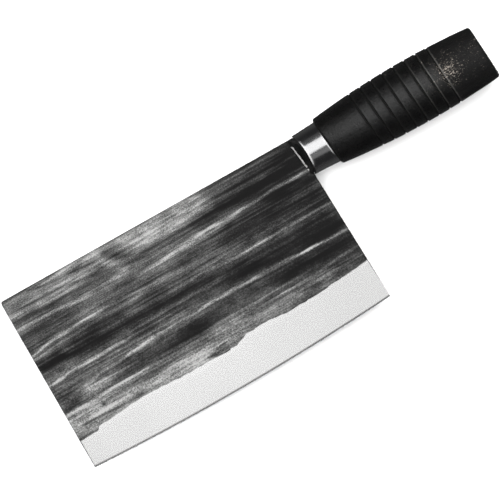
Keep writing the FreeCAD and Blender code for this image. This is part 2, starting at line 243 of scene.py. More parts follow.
def make_piece(name, points, faces, material, node, sharp=40.0, marks=None):
    """Mesh object in the row frame from points in the knife's frame and a list of faces, riding
    on the root body and standing for its CAD node. marks are named numbers, one for each point."""
    mesh = bpy.data.meshes.new(name)
    mesh.from_pydata(to_row(points), [], faces)
    mesh.validate()
    face_outwards(mesh)
    for mark, values in (marks or {}).items():
        attribute = mesh.attributes.new(mark, "FLOAT", "POINT")
        attribute.data.foreach_set("value", np.asarray(values, np.float32).ravel())
    mesh.polygons.foreach_set("use_smooth", np.ones(len(mesh.polygons), bool))
    mesh.set_sharp_from_angle(angle=math.radians(sharp))
    mesh.materials.append(material)
    mesh.update()
    piece = bpy.data.objects.new(name, mesh)
    bpy.context.scene.collection.objects.link(piece)
    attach(piece, "root")
    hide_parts(node)
    return piece


def two_sheets(upper, lower):
    """Points and faces of a closed plate: an upper and a lower grid of the same shape, joined
    by a strip of quads around their rims. The grids' rows run along X, their columns along Y."""
    rows, columns = upper.shape[:2]
    count = rows * columns
    points = np.concatenate((upper.reshape(-1, 3), lower.reshape(-1, 3)))
    top = grid_faces(rows, columns)
    bottom = grid_faces(rows, columns, first=count)[:, ::-1]
    index = np.arange(count).reshape(rows, columns)
    rim = np.concatenate((index[:-1, 0], index[-1, :-1], index[:0:-1, -1], index[0, :0:-1]))
    following = np.roll(rim, -1)
    wall = np.stack((following, rim, rim + count, following + count), axis=1)
    return points, np.concatenate((top, bottom, wall)).tolist()


def turned_points(along, radius, steps, skew=None):
    """Surface of revolution about the X axis. along and radius are arrays of one shape: one
    value for each profile point, or a grid with a value for each profile point and angle. skew
    is how far each profile point's ring leans out of square, as a slope."""
    angle = np.linspace(0.0, 2 * math.pi, steps, endpoint=False)[None, :]
    along = np.broadcast_to(along.reshape(len(along), -1), (len(along), steps))
    radius = np.broadcast_to(radius.reshape(len(radius), -1), (len(radius), steps))
    across = radius * np.sin(angle)
    up = radius * np.cos(angle)
    if skew is not None:
        along = along - across * np.asarray(skew).reshape(-1, 1)
    return np.stack((along, across, up), axis=2)


def closed_ends(points, along):
    """Points and faces of a turned surface whose first and last rings are closed by a fan of
    triangles around a point on the axis."""
    rows, steps = points.shape[:2]
    flat = points.reshape(-1, 3)
    poles = np.array(((along[0], 0, 0), (along[-1], 0, 0)))
    ring = np.arange(steps)
    following = (ring + 1) % steps
    last = (rows - 1) * steps
    start = np.stack((following, ring, np.full(steps, len(flat))), axis=1)
    finish = np.stack((last + ring, last + following, np.full(steps, len(flat) + 1)), axis=1)
    faces = grid_faces(rows, steps, close_columns=True).tolist()
    return np.concatenate((flat, poles)), faces + start.tolist() + finish.tolist()


# ---------------------------------------------------------------- shader helpers

class Nodes:
    """Adds nodes to a tree and links them, left to right."""

    def __init__(self, tree):
        self.tree = tree
        tree.nodes.clear()

    def add(self, kind, inputs=None, **settings):
        node = self.tree.nodes.new(kind)
        node.location = (200 * len(self.tree.nodes), 0)
        for setting, value in settings.items():
            setattr(node, setting, value)
        for socket, value in (inputs or {}).items():
            if isinstance(value, bpy.types.NodeSocket):
                self.tree.links.new(value, node.inputs[socket])
            else:
                node.inputs[socket].default_value = value
        return node

    def group(self, tree, inputs):
        """A placed node group. Returns its outputs by name."""
        return self.add("ShaderNodeGroup", inputs, node_tree=tree).outputs

    def math(self, operation, *values, clamp=False):
        inputs = dict(enumerate(values))
        return self.add("ShaderNodeMath", inputs, operation=operation, use_clamp=clamp).outputs[0]

    def fit(self, value, low, high, new_low=0.0, new_high=1.0):
        """value from low..high to new_low..new_high, eased and held at both ends."""
        inputs = {"Value": value, "From Min": low, "From Max": high,
                  "To Min": new_low, "To Max": new_high}
        return self.add("ShaderNodeMapRange", inputs, interpolation_type="SMOOTHSTEP").outputs[0]

    def blend(self, share, first, second, mode="MIX"):
        """Mix of two colours, each a socket or a red, green and blue."""
        first, second = [value if isinstance(value, bpy.types.NodeSocket) else (*value, 1.0)
                         for value in (first, second)]
        node = self.add("ShaderNodeMix", {0: share, 6: first, 7: second},
                        data_type="RGBA", blend_type=mode)
        return node.outputs[2]

    def grey(self, value):
        """Colour whose three parts are one value."""
        return self.add("ShaderNodeCombineColor", dict.fromkeys(range(3), value)).outputs[0]

    def varied(self, pattern, swing, base):
        """base, with a pattern around one half added at a given swing."""
        return self.math("MULTIPLY_ADD", self.math("SUBTRACT", pattern, 0.5), swing, base)

    def mark(self, name):
        """A named number that the mesh carries on its points."""
        return self.add("ShaderNodeAttribute", attribute_name=name).outputs["Fac"]

    def knife_place(self):
        """Place in the knife's own frame, in metres."""
        place = self.add("ShaderNodeTexCoord").outputs["Object"]
        turn = Matrix(KNIFE_AXES.tolist())
        moved = -(KNIFE_AXES @ KNIFE_ORIGIN)
        inputs = {"Vector": place, "Location": tuple(moved), "Rotation": turn.to_euler()}
        return self.add("ShaderNodeMapping", inputs).outputs[0]

    def stretched(self, place, scale):
        """Place with each axis scaled, to draw a pattern out along one direction."""
        return self.add("ShaderNodeMapping", {"Vector": place, "Scale": scale}).outputs[0]

    def noise(self, place, scale, detail=4.0, roughness=0.55, distortion=0.0):
        """Soft noise around one half, scale patches to the metre."""
        inputs = {"Vector": place, "Scale": scale, "Detail": detail,
                  "Roughness": roughness, "Distortion": distortion}
        return self.add("ShaderNodeTexNoise", inputs).outputs["Fac"]

    def bump(self, height, distance, strength=1.0):
        """Normal tilted by a height whose full range is distance, in metres."""
        inputs = {"Height": height, "Distance": distance, "Strength": strength}
        return self.add("ShaderNodeBump", inputs).outputs[0]


def new_group(name, inputs, outputs):
    """Node group with named sockets. Returns its nodes, its inputs and its output node."""
    tree = bpy.data.node_groups.new(name, "ShaderNodeTree")
    kinds = {"float": "NodeSocketFloat", "vector": "NodeSocketVector", "color": "NodeSocketColor"}
    for socket, kind, default in inputs:
        made = tree.interface.new_socket(name=socket, in_out="INPUT", socket_type=kinds[kind])
        if default is not None:
            made.default_value = default
    for socket, kind in outputs:
        tree.interface.new_socket(name=socket, in_out="OUTPUT", socket_type=kinds[kind])
    nodes = Nodes(tree)
    entry = nodes.add("NodeGroupInput")
    leave = nodes.add("NodeGroupOutput")
    return nodes, entry.outputs, leave


def finish_group(nodes, leave, values):
    """Link the values to the group's outputs of those names."""
    for socket, value in values.items():
        nodes.tree.links.new(value, leave.inputs[socket])
    return nodes.tree


def brushed_lines_group():
    """Fine parallel lines left by a belt or a wheel, drawn out along the X of Place."""
    nodes, entry, leave = new_group(
        "brushed_lines",
        [("Place", "vector", None), ("Spacing", "float", 0.0004), ("Draw", "float", 40.0)],
        [("Lines", "float")])
    scale = nodes.math("DIVIDE", 1.0, entry["Spacing"])
    drawn = nodes.math("DIVIDE", scale, entry["Draw"])
    vector = nodes.add("ShaderNodeCombineXYZ", {"X": drawn, "Y": scale, "Z": scale}).outputs[0]
    place = nodes.add("ShaderNodeVectorMath", {0: entry["Place"], 1: vector},
                      operation="MULTIPLY").outputs[0]
    fine = nodes.noise(place, 1.0, detail=3.0, roughness=0.7)
    broad = nodes.noise(place, 0.23, detail=2.0)
    lines = nodes.math("ADD", nodes.math("MULTIPLY", fine, 0.65),
                       nodes.math("MULTIPLY", broad, 0.35))
    return finish_group(nodes, leave, {"Lines": lines})


def mottle_group():
    """Blotches of one size broken up by finer ones, as a mask."""
    nodes, entry, leave = new_group(
        "mottle",
        [("Place", "vector", None), ("Size", "float", 0.01), ("Low", "float", 0.4),
         ("High", "float", 0.6)],
        [("Mask", "float"), ("Fine", "float")])
    scale = nodes.math("DIVIDE", 1.0, entry["Size"])
    broad = nodes.noise(entry["Place"], scale, detail=5.0, roughness=0.62, distortion=0.4)
    fine = nodes.noise(entry["Place"], nodes.math("MULTIPLY", scale, 9.0), detail=3.0)
    mixed = nodes.math("ADD", nodes.math("MULTIPLY", broad, 0.8),
                       nodes.math("MULTIPLY", fine, 0.2))
    mask = nodes.add("ShaderNodeMapRange", {"Value": mixed, "From Min": entry["Low"],
                                            "From Max": entry["High"]},
                     interpolation_type="SMOOTHSTEP").outputs[0]
    return finish_group(nodes, leave, {"Mask": mask, "Fine": fine})


def wear_group():
    """Colour worn through to another one where Mask is high, with a ragged border."""
    nodes, entry, leave = new_group(
        "wear_and_highlight",
        [("Place", "vector", None), ("Colour", "color", None), ("Worn", "color", None),
         ("Mask", "float", 0.0), ("Size", "float", 0.001)],
        [("Colour", "color"), ("Worn Mask", "float")])
    scale = nodes.math("DIVIDE", 1.0, entry["Size"])
    ragged = nodes.noise(entry["Place"], scale, detail=4.0, roughness=0.65)
    level = nodes.math("ADD", entry["Mask"], nodes.math("MULTIPLY_ADD", ragged, 0.9, -0.45))
    mask = nodes.fit(level, 0.38, 0.62)
    colour_out = nodes.blend(mask, entry["Colour"], entry["Worn"])
    return finish_group(nodes, leave, {"Colour": colour_out, "Worn Mask": mask})


def group_named(name, maker):
    """The node group of that name, made at its first use."""
    return bpy.data.node_groups.get(name) or maker()


def new_material(name):
    """A material and the nodes of its empty tree."""
    material = bpy.data.materials.new(name)
    material.use_nodes = True
    return material, Nodes(material.node_tree)


def close_material(nodes, normal=None, **inputs):
    """Principled shader with the given sockets, and the material's output."""
    plain = {socket.replace("_", " "): value for socket, value in inputs.items()}
    shader = nodes.add("ShaderNodeBsdfPrincipled", plain)
    if normal is not None:
        nodes.tree.links.new(normal, shader.inputs["Normal"])
    nodes.add("ShaderNodeOutputMaterial", {"Surface": shader.outputs[0]})


# ---------------------------------------------------------------- blade

# Marks of the forge and the roller on the upper flank, as brush strokes in millimetres of the
# knife's frame: start x, y, end x, y, bow in the middle, half width, strength (lighter or
# darker), and how far both ends fade.
STROKES = (
    (-200, 6, -127, 9, 0.5, 5.5, 0.22, 10),
    (-196, 2, -140, 3, -1.0, 3.0, 0.16, 12),
    (-133, 7, -122, -4, 0.0, 4.5, 0.27, 5),
    (-120, 8, -60, 8, 0.0, 6.0, 0.31, 5),
    (-118, 1, -60, 3, 0.5, 3.5, 0.20, 6),
    (-60, 8, -2, 9, 0.0, 5.0, 0.05, 8),
    (-196, 5, -138, 0, 1.0, 1.1, -0.34, 10),
    (-176, 11, -130, 7, -0.6, 0.8, -0.34, 8),
    (-190, -1, -142, -3, 0.0, 1.6, -0.30, 14),
    (-126, 4, -98, -3, 0.0, 2.4, -0.22, 10),
    (-78, -3, 0, -1, 0.0, 3.6, -0.23, 8),
    (-200, -5.5, -150, -8.5, 0.6, 0.8, 0.37, 14),
    (-165, -6, -60, -9, 0.5, 1.6, 0.10, 16),
    (-110, -12.4, 2, -8.6, 0.8, 0.9, 0.41, 18),
    (-112, -13, -60, -11, 0.0, 2.6, 0.16, 12),
    (-200, -24, -150, -19.6, 1.4, 0.8, 0.56, 8),
    (-158, -20, -96, -22, 1.0, 1.0, 0.24, 20),
    (-200, -26.5, -165, -24, 0.3, 0.6, 0.29, 10),
    (-200, -30.5, -160, -32.5, 0.0, 4.2, -0.26, 10),
    (-196, -31, -178, -32, 0.0, 2.4, -0.20, 4),
    (-110, -32, -70, -29, 0.0, 2.4, 0.16, 14),
    (-60, -31.8, 2, -31.2, 0.3, 0.8, 0.27, 16),
    (-200, -43.4, -140, -43, 1.6, 0.9, 0.37, 10),
    (-142, -40, -84, -38.5, 0.4, 1.2, 0.15, 16),
    (-178, -53, 2, -50, 4.0, 0.8, 0.51, 22),
    (-60, -48.6, 2, -50.4, 0.5, 0.7, 0.24, 10),
    (-179, -57, -163, -58, 0.0, 4.0, 0.30, 6),
    (-196, -58, -180, -58, 0.0, 3.4, -0.20, 4),
    (-158, -57, -88, -57.5, 0.8, 3.0, -0.20, 12),
    (-48, -57, 3, -57, 0.0, 4.5, -0.17, 8),
    (-168, -38.5, -108, -38.5, 0.0, 4.6, -0.13, 10),
    (-112, -38.5, -52, -38.5, 0.0, 4.6, -0.19, 8),
    (-98, -48, 3, -48, 0.0, 4.5, -0.085, 8),
    (-164, -65.5, -97, -65.5, 0.0, 4.5, -0.12, 8),
    (-64, -65.5, -50, -65.5, 0.0, 4.0, -0.10, 4),
    (-202, -20.5, -178, -20.5, 0.0, 4.0, -0.12, 4),
    (-114, -20.5, -81, -20.5, 0.0, 4.0, -0.09, 8),
    (-168, -30, -76, -30.5, 0.0, 5.5, -0.20, 10),
    (-26, -44, 3, -44, 0.0, 6.0, -0.07, 8),
    (-28, -12, 3, -12.5, 0.0, 3.4, -0.24, 8),
    (-20, 4, 3, 2, 0.0, 8.0, -0.21, 8),
    (-180, -2, -148, -2.5, 0.0, 3.4, 0.12, 8),
    (-82, -65, -64, -65, 0.0, 4.0, 0.17, 6),
    (-202, -71, -150, -73, 0.0, 5.5, 0.12, 8),
    (-180, -12, -113, -12, 0.0, 4.0, 0.06, 8),
    (-200, -63.8, -138, -62.4, 0.5, 0.8, 0.49, 10),
    (-58, -64, 3, -62.2, 0.3, 0.8, 0.41, 14),
    (-200, -68, -80, -70, 0.0, 6.0, 0.20, 8),
    (-120, -70, -10, -69, 0.6, 3.0, 0.14, 16),
    (-16, -67, 3, -66.5, 0.0, 2.4, -0.16, 6),
    (-196, -73.6, -149, -73.4, 0.4, 0.8, -0.44, 6),
    (-148, -72.5, -108, -74.5, 0.0, 1.4, 0.22, 6),
    (-171, -68.2, -173.5, -68.2, 0.0, 1.2, -0.60, 1.2),
    (-106, -75.4, -91, -75.6, 0.0, 0.5, -0.40, 3),
    (-70, -45, 2, -44, 0.0, 5.0, -0.10, 12),
    (-62, -20, 0, -22, 0.0, 7.0, -0.06, 12),
)

STROKE_GAIN = 0.95  # how much of its strength each stroke gives

# Scale that the grinding missed, in millimetres: start x, y, end x, y, half width.
SCALE_PATCHES = (
    (-194, -77.6, -183.5, -77.4, 0.9),
    (-106, -76.2, -92, -76.4, 0.5),
    (-199, -74.6, -150, -73.6, 0.9),
)


def stroke_strength(x, y, stroke):
    """Bell across a bowed and slightly wandering line, with eased steps at both ends."""
    x0, y0, x1, y1, bow, half = [value * MM for value in stroke[:6]]
    strength, fade = stroke[6], stroke[7] * MM
    share = (x - x0) / (x1 - x0)
    seed = int(abs(stroke[0]) + 7 * abs(stroke[1]))
    wander = 0.35 * MM * waves((x,), (35 * MM,), seed, 6)
    centre = y0 + (y1 - y0) * share + 4 * bow * share * (1 - share) + wander
    fade_share = abs(fade / (x1 - x0))
    inside = smooth_step(-fade_share, fade_share, share)
    inside = inside * smooth_step(-fade_share, fade_share, 1 - share)
    steepness = 3.0 if half > 2 * MM else 2.0
    across = np.exp(-np.abs((y - centre) / half) ** steepness)
    patchy = 1.0 + 0.18 * waves((x, y), (30 * MM, 8 * MM), int(abs(stroke[2])) + 3, 10)
    return STROKE_GAIN * strength * inside * across * patchy


def blade_outline(settings, along_share, across_share):
    """X, Y and height above the edge of a grid on the blade's outline: straight spine and toe,
    leaning heel, a circle's arc for the edge, and a rounded upper toe corner."""
    x = -settings.length + along_share * settings.length
    spine_share = -x / settings.length
    spine = settings.spine_at_heel + spine_share * (settings.spine_at_toe - settings.spine_at_heel)
    inset = np.clip(settings.toe_corner - (x + settings.length), 0.0, settings.toe_corner)
    spine = spine - (settings.toe_corner - np.sqrt(settings.toe_corner ** 2 - inset ** 2))

    def edge_at(place):
        off = place + settings.edge_crest
        drop = settings.edge_radius - np.sqrt(settings.edge_radius ** 2 - off ** 2)
        return drop - settings.edge_depth

    edge = edge_at(x)
    y = spine + across_share * (edge - spine)
    fall = (settings.spine_at_heel - y) / (settings.spine_at_heel + settings.edge_depth)
    x = x + along_share * settings.heel_lean * fall
    edge = edge_at(x)
    y = np.where(across_share == 1.0, edge, np.maximum(y, edge))
    return x, y, y - edge


# Height of the ground band above the edge, in millimetres, at places along the blade.
BEVEL_HEIGHTS = ((-196, 17.6), (-183, 18.2), (-181, 20.6), (-149, 24.0), (-112, 23.2), (-87, 23.4),
                 (-80, 25.9), (-65, 26.2), (-52, 24.4), (-30, 24.0), (-10, 24.5), (6, 24.8))


def bevel_height(x):
    """Height of the ground band at x, straight between the listed places."""
    places, heights = np.array(BEVEL_HEIGHTS).T * MM
    return np.interp(x, places, heights)


def forged_half(settings, x, y, above, seed):
    """Half thickness: the lesser of the flank's plane and the bevel's cone, with the forge's
    shallow waves on the flank and a steeper narrow bevel along the very edge. Returns it with
    the height above the ground band's border."""
    flank = settings.spine_half + EDGE_THINNING * (y - settings.spine_at_heel)
    waviness = waves((x, y), (90 * MM, 60 * MM), seed) * 0.020 * MM
    waviness = waviness + waves((x, y), (24 * MM, 16 * MM), seed + 1) * 0.005 * MM
    height = bevel_height(x)
    at_shoulder = settings.spine_half + EDGE_THINNING * (height - settings.edge_depth
                                                         - settings.spine_at_heel)
    slope = (at_shoulder - settings.edge_half) / height
    honed_height = 1.1 * MM
    honed_gain = 0.07 * MM
    honed = honed_gain * np.clip(above / honed_height, 0.0, 1.0)
    bevel = settings.edge_half + slope * above + honed
    soft = 0.012 * MM
    gap = flank + waviness - bevel
    half = bevel + 0.5 * (gap - np.sqrt(gap ** 2 + soft ** 2))
    shoulder = above - height + waves((x, y), (14 * MM, 14 * MM), seed + 2) * 0.12 * MM
    return half, shoulder


def rounded_rim(distance, radius, least):
    """Share of full thickness left near a rim: a quarter circle down to least at the rim."""
    inside = np.clip(1.0 - distance / radius, 0.0, 1.0)
    return least + (1.0 - least) * np.sqrt(1.0 - inside ** 2)


def blade_piece(context):
    """Upper and lower grids over the outline, each half the forged thickness from the middle
    plane, thinned along the spine, toe and heel rims and joined around them."""
    settings = context.scene.cleaver_blade
    rows, columns = 280, 172
    near = 0.35 * MM / settings.length
    middle = clustered(rows - 4, 0.25) * (1 - 4 * near) + 2 * near
    along = np.concatenate(((0.0, near), middle, (1 - near, 1.0)))[:, None]
    depth = settings.edge_depth + settings.spine_at_heel
    rim = np.array((0.0, 0.3, 0.7)) * MM / depth
    past_rim = 1.2 * MM / depth
    below = clustered(columns - 3, 0.3) * (1 - past_rim) + past_rim
    across = np.concatenate((rim, below))[None, :]
    along, across = np.broadcast_arrays(along, across)
    x, y, above = blade_outline(settings, along, across)
    to_spine = settings.spine_at_heel - y - SPINE_RISE * x
    to_toe = x + settings.length
    fall = (settings.spine_at_heel - y) / depth
    to_heel = settings.heel_lean * fall - x
    thin = rounded_rim(np.maximum(to_spine, 0.0), radius=0.9 * MM, least=0.55)
    thin = thin * rounded_rim(to_toe, radius=0.7 * MM, least=0.72)
    thin = thin * rounded_rim(np.maximum(to_heel, 0.0), radius=0.5 * MM, least=0.78)
    sheets, lights, shoulders, patches = [], [], [], []
    for side, seed in ((1, 11), (-1, 31)):
        half, shoulder = forged_half(settings, x, y, above, seed)
        sheets.append(np.stack((x, y, side * half * thin), axis=2))
        mirrored = x if side > 0 else -settings.length - x
        light = sum(stroke_strength(mirrored, y, stroke) for stroke in STROKES)
        light = light + base_lightness(mirrored, y)
        lights.append(light)
        shoulders.append(shoulder / MM)
        patches.append(sum(patch_strength(mirrored, y, patch) for patch in SCALE_PATCHES))
    points, faces = two_sheets(*sheets)
    marks = {
        "light": np.stack(lights),
        "shoulder": np.stack(shoulders),
        "patch": np.stack(patches),
        "rim": np.stack([rim_mark(to_spine, to_toe, above)] * 2),
        "honed": np.stack([smooth_step(1.2 * MM, 0.7 * MM, above)] * 2),
    }
    return make_piece("forged_blade", points, faces, forged_blade_material(settings),
                      "blade", sharp=50.0, marks=marks)


def base_lightness(x, y):
    """Slow change of the scale: eased steps, paler towards the toe and the bevel, with broad and
    narrow waves drawn out along the blade."""
    toe = smooth_step(-30 * MM, -90 * MM, x)
    low = smooth_step(-52 * MM, -76 * MM, y)
    streaks = waves((x, y), (260 * MM, 9 * MM), 5, 20) * 0.055
    fine = waves((x, y), (150 * MM, 3.2 * MM), 6, 24) * 0.055
    return 0.22 + 0.17 * toe + 0.12 * low + streaks + fine


def patch_strength(x, y, patch):
    """Scale that the grinding missed: a parabola's lens along the line between two points, with
    an eased border."""
    x0, y0, x1, y1, half = [value * MM for value in patch]
    share = (x - x0) / (x1 - x0)
    centre = y0 + (y1 - y0) * share
    lens = half * np.sqrt(np.clip(3.6 * (share + 0.1) * (1.1 - share), 0.0, 1.0))
    inside = np.clip((share + 0.02) * 40, 0, 1) * np.clip((1.02 - share) * 40, 0, 1)
    return inside * smooth_step(1.35, 0.75, np.abs(y - centre) / np.maximum(lens, 1e-6))


def rim_mark(to_spine, to_toe, above):
    """One on the spine's and the toe's arrises, falling off exponentially within a millimetre or
    so and fading at the edge."""
    nearest = np.minimum(np.maximum(to_spine, 0), to_toe)
    return np.exp(-nearest / (0.4 * MM)) * smooth_step(-1 * MM, 2 * MM, above)


def forge_scale(nodes, place, settings):
    """Black scale rubbed pale where the mesh's light mark is high, broken up by streaks, hair
    lines, clouds and grit, with scattered pits. Returns its colour, roughness and height."""
    light = nodes.mark("light")
    streak = nodes.noise(nodes.stretched(place, (1.0, 14.0, 1.0)), 42.0, detail=6.0,
                         roughness=0.62, distortion=0.25)
    hair = nodes.noise(nodes.stretched(place, (1.0, 34.0, 1.0)), 55.0, detail=4.0,
                       roughness=0.6, distortion=0.15)
    cloud = nodes.noise(place, 46.0, detail=7.0, roughness=0.68)
    grit = nodes.noise(place, 1300.0, detail=3.0, roughness=0.7)
    layers = ((streak, 0.70), (hair, 0.38), (cloud, 0.75), (grit, 0.95))
    marks = -0.5 * sum(weight for layer, weight in layers)
    for layer, weight in layers:
        marks = nodes.math("MULTIPLY_ADD", layer, weight, marks)
    contrast = nodes.math("MULTIPLY_ADD", light, 1.7, 0.40)
    level = nodes.math("MULTIPLY_ADD", marks, contrast, light)
    tone = nodes.math("POWER", nodes.math("MAXIMUM", level, 0.0), 2.2)
    colour_out = nodes.blend(nodes.math("MINIMUM", tone, 1.0), settings.scale_dark,
                             settings.scale_light)
    pits = nodes.add("ShaderNodeTexVoronoi", {"Vector": place, "Scale": 210.0,
                                              "Randomness": 1.0}).outputs["Distance"]
    pit_area = nodes.noise(place, 60.0, detail=2.0)
    pit = nodes.math("MULTIPLY", nodes.fit(pits, 0.16, 0.06), nodes.fit(pit_area, 0.6, 0.72))
    pit_black = (0.003, 0.003, 0.003)
    colour_out = nodes.blend(nodes.math("MULTIPLY", pit, 0.8), colour_out, pit_black)
    rough = nodes.math("MULTIPLY_ADD", cloud, 0.22, 0.40)
    height = nodes.math("MULTIPLY_ADD", cloud, 0.5, nodes.math("MULTIPLY", grit, 0.30))
    height = nodes.math("MULTIPLY_ADD", streak, 0.4, height)
    height = nodes.math("MULTIPLY_ADD", pit, -0.8, height)
    return colour_out, rough, height


def ground_share(nodes, place):
    """One on the ground band and nothing above its ragged border or on the patches it missed."""
    ragged = nodes.noise(nodes.stretched(place, (1.0, 2.2, 1.0)), 240.0, detail=5.0,
                         roughness=0.6)
    ragged = nodes.math("SUBTRACT", ragged, 0.5)
    border = nodes.math("MULTIPLY_ADD", ragged, 1.5, nodes.mark("shoulder"))
    patch = nodes.math("MULTIPLY_ADD", ragged, 0.9, nodes.mark("patch"))
    return nodes.math("MULTIPLY", nodes.fit(border, 0.16, -0.16), nodes.fit(patch, 0.62, 0.38))


def ground_steel(nodes, place, settings):
    """Steel ground across the blade, with painted shade: a little darker towards the heel and dark
    on the honed edge. Returns its colour and roughness."""
    crosswise = nodes.add("ShaderNodeMapping",
                          {"Vector": place, "Rotation": (0, 0, math.radians(88))}).outputs[0]
    brushed = group_named("brushed_lines", brushed_lines_group)
    lines = nodes.group(brushed, {"Place": crosswise, "Spacing": 0.002, "Draw": 14.0})["Lines"]
    sheen = nodes.noise(place, 30.0, detail=3.0)
    bright = nodes.varied(sheen, 0.10, nodes.varied(lines, 0.03, 1.0))
    along = nodes.add("ShaderNodeSeparateXYZ", {"Vector": place}).outputs["X"]
    # painted shade: the ground steel darkens towards the heel
    bright = nodes.math("MULTIPLY", bright, nodes.fit(along, -0.13, 0.02, 1.0, 0.89))
    # painted shade: the honed edge is darkened
    honed = nodes.math("MULTIPLY_ADD", nodes.mark("honed"), -0.62, 1.0)
    bright = nodes.math("MULTIPLY", bright, honed)
    colour_out = nodes.blend(1.0, settings.ground, nodes.grey(bright), "MULTIPLY")
    return colour_out, nodes.math("MULTIPLY_ADD", lines, 0.04, 0.21)


def forged_blade_material(settings):
    """Forge scale over ground steel, with bare steel worn through along the arrises."""
    material, nodes = new_material("forged_blade_steel")
    place = nodes.knife_place()
    scale, scale_rough, height = forge_scale(nodes, place, settings)
    steel, steel_rough = ground_steel(nodes, place, settings)
    ground = ground_share(nodes, place)
    not_ground = nodes.math("SUBTRACT", 1.0, ground)
    wear_and_highlight = group_named("wear_and_highlight", wear_group)
    rim = nodes.math("MULTIPLY", nodes.mark("rim"), 0.72)
    bare_steel = (0.34, 0.34, 0.33, 1.0)
    worn_and_highlight = nodes.group(wear_and_highlight, {"Place": place, "Colour": scale, "Worn": bare_steel, "Mask": rim,
                              "Size": 0.0016})
    base = nodes.blend(ground, worn_and_highlight["Colour"], steel)
    metal = nodes.math("MAXIMUM", nodes.math("MULTIPLY", ground, 0.75),
                       nodes.math("MULTIPLY", worn_and_highlight["Worn Mask"], 0.6))
    rough = nodes.math("ADD", nodes.math("MULTIPLY", not_ground, scale_rough),
                       nodes.math("MULTIPLY", ground, steel_rough))
    normal = nodes.bump(nodes.math("MULTIPLY", height, not_ground), 0.00016, 0.8)
    close_material(nodes, normal, Base_Color=base, Metallic=metal, Roughness=rough,
                   Specular_IOR_Level=0.16)
    return material


# ---------------------------------------------------------------- bolster

def bolster_piece(context):
    """Round plug whose upper and lower faces slope down to a low lip on the blade: each height
    is the lesser of the slope and the plug's own circle."""
    settings = context.scene.cleaver_bolster
    rows, columns = 120, 110
    side = math.radians(87.5)  # short of a quarter turn, so that the rim keeps a height
    turn = np.linspace(-side, side, columns)[None, :]
    y = settings.radius * np.sin(turn)
    share = np.concatenate((np.linspace(0, 0.02, 6), np.linspace(0.03, 1.0, rows - 6)))[:, None]
    lean = math.tan(math.radians(7.5))
    front = settings.front - lean * y
    front = front + waves((y,), (5 * MM,), 71) * 0.05 * MM
    x = front + share * (settings.end - front)
    y = np.broadcast_to(y, x.shape)
    slope = settings.lip + (x - front) / settings.slant
    rough = waves((x, y), (5 * MM, 4 * MM), 72) * 0.05 * MM
    circle = np.sqrt(np.clip(settings.radius ** 2 - y ** 2, 0.0, None))
    lip_round = rounded_rim(x - front, 0.35 * MM, 0.80)
    half = np.minimum((slope + rough) * lip_round, circle)
    points, faces = two_sheets(np.stack((x, y, half), axis=2), np.stack((x, y, -half), axis=2))
    # The wear mark paints a highlight along the front lip, strongest just behind its edge.
    lip_middle = -0.9 * MM
    wear_and_highlight = 1.7 * bump(x - front, 0.25 * MM, 0.6 * MM)
    wear_and_highlight = wear_and_highlight * smooth_step(9.4 * MM, 7.2 * MM, np.abs(y - lip_middle))
    wear_and_highlight = wear_and_highlight * (1 + 0.35 * waves((y,), (4 * MM,), 73))
    return make_piece("forged_bolster", points, faces, bolster_material(settings),
                      "bolster", sharp=55.0, marks={"wear_and_highlight": np.stack((wear_and_highlight, wear_and_highlight))})


def bolster_material(settings):
    """Black forge scale, with a painted highlight along the front lip."""
    material, nodes = new_material("black_bolster_scale")
    place = nodes.knife_place()
    mottle = group_named("mottle", mottle_group)
    spots = nodes.group(mottle, {"Place": place, "Size": 0.004, "Low": 0.42, "High": 0.66})
    dull_scale = (0.022, 0.022, 0.022)
    scale = nodes.blend(nodes.math("MULTIPLY", spots["Mask"], 0.5), settings.scale, dull_scale)
    # painted highlight: the wear group lays the pale lip colour over the scale
    wear_and_highlight = group_named("wear_and_highlight", wear_group)
    worn_and_highlight = nodes.group(wear_and_highlight, {"Place": place, "Colour": scale, "Worn": (*settings.worn_and_highlight, 1.0),
                              "Mask": nodes.mark("wear_and_highlight"), "Size": 0.002})
    rough = nodes.math("MULTIPLY_ADD", spots["Fine"], 0.25, 0.42)
    normal = nodes.bump(spots["Fine"], 0.0002, 0.7)
    close_material(nodes, normal, Base_Color=worn_and_highlight["Colour"], Roughness=rough,
                   Metallic=nodes.math("MULTIPLY", worn_and_highlight["Worn Mask"], 0.3),
                   Specular_IOR_Level=0.2)
    return material


# ---------------------------------------------------------------- ferrule

